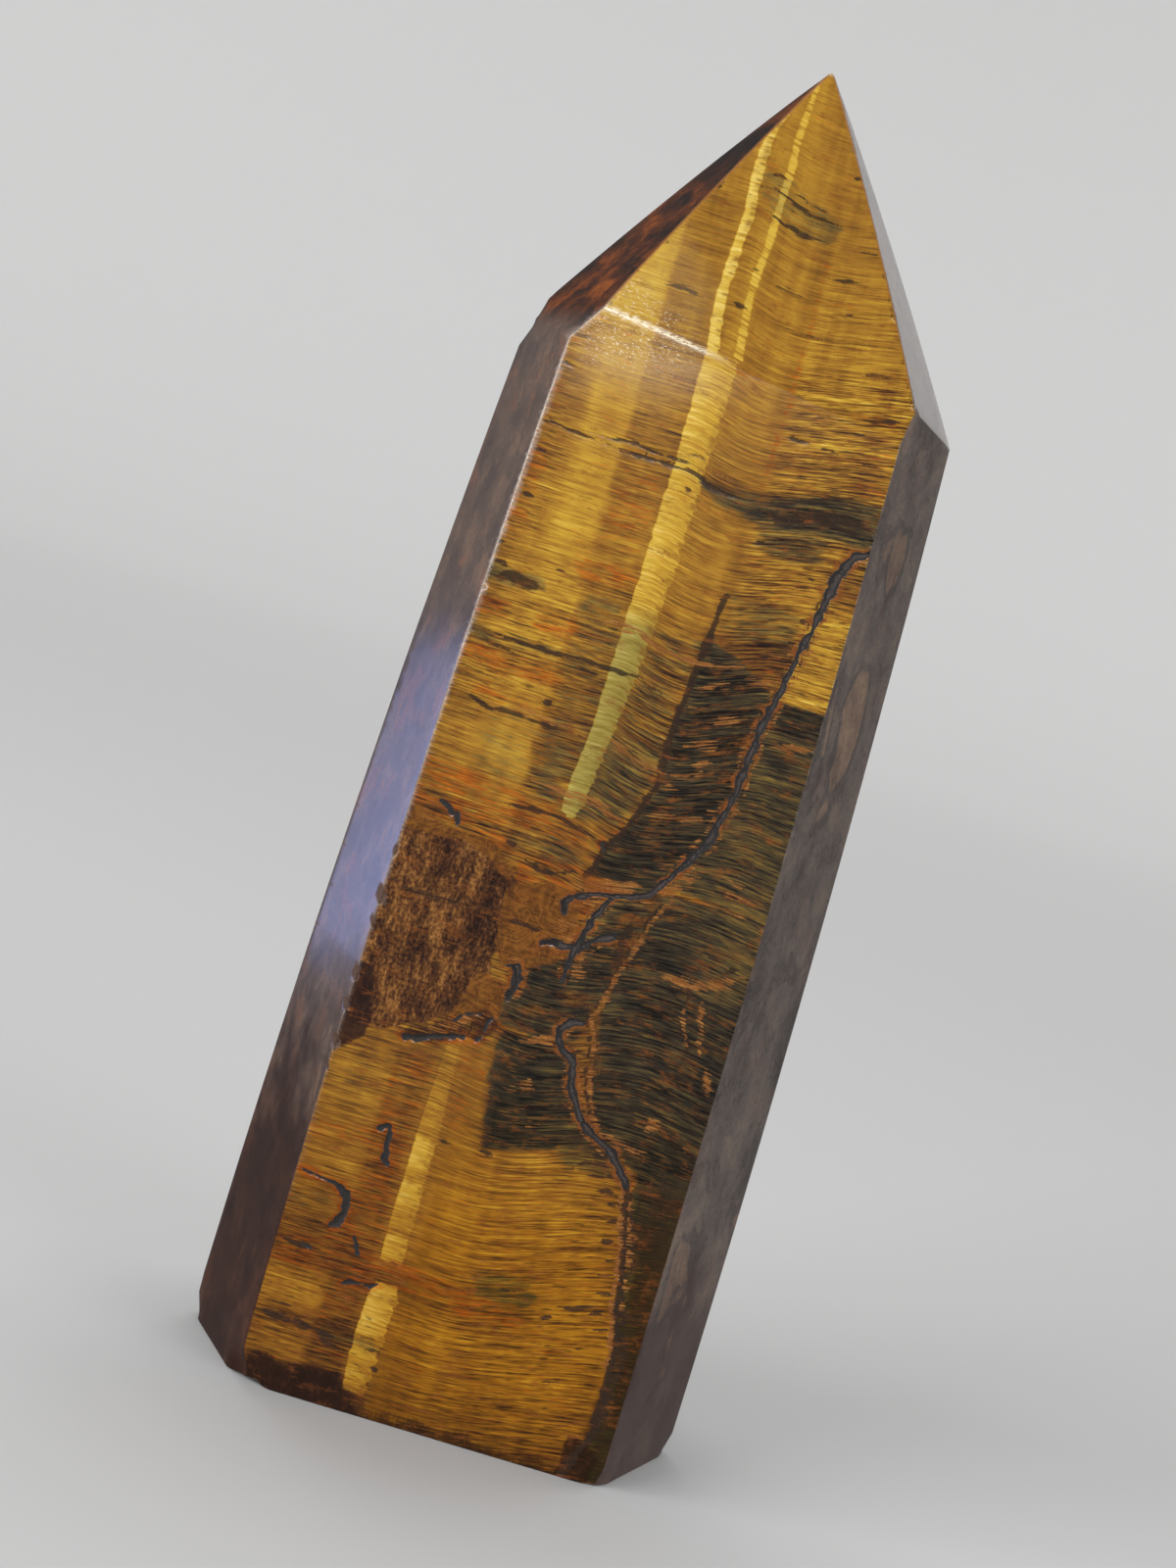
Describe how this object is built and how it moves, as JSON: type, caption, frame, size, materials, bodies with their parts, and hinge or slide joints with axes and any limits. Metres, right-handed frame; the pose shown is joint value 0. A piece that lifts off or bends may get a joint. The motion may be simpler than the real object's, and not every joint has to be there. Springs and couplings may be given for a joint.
{
  "type": "polished tigers eye tower",
  "caption": "Free-standing six-sided column of polished, golden-brown banded tiger's eye, tapering to a faceted point, with a flat base to stand on.",
  "frame": {"origin": "centre of the flat base that the tower stands on", "axes": "+Z along the tower towards its tip, front flat facing -Y, +X to the right"},
  "size_m": [0.036, 0.0246, 0.0978],
  "materials": {
    "tigers_eye": "polished, silky golden-brown and olive fibre bands with dark brown ironstone"
  },
  "bodies": {
    "root": {"tigers_eye_tower": "tigers_eye"}
  },
  "joints": []
}
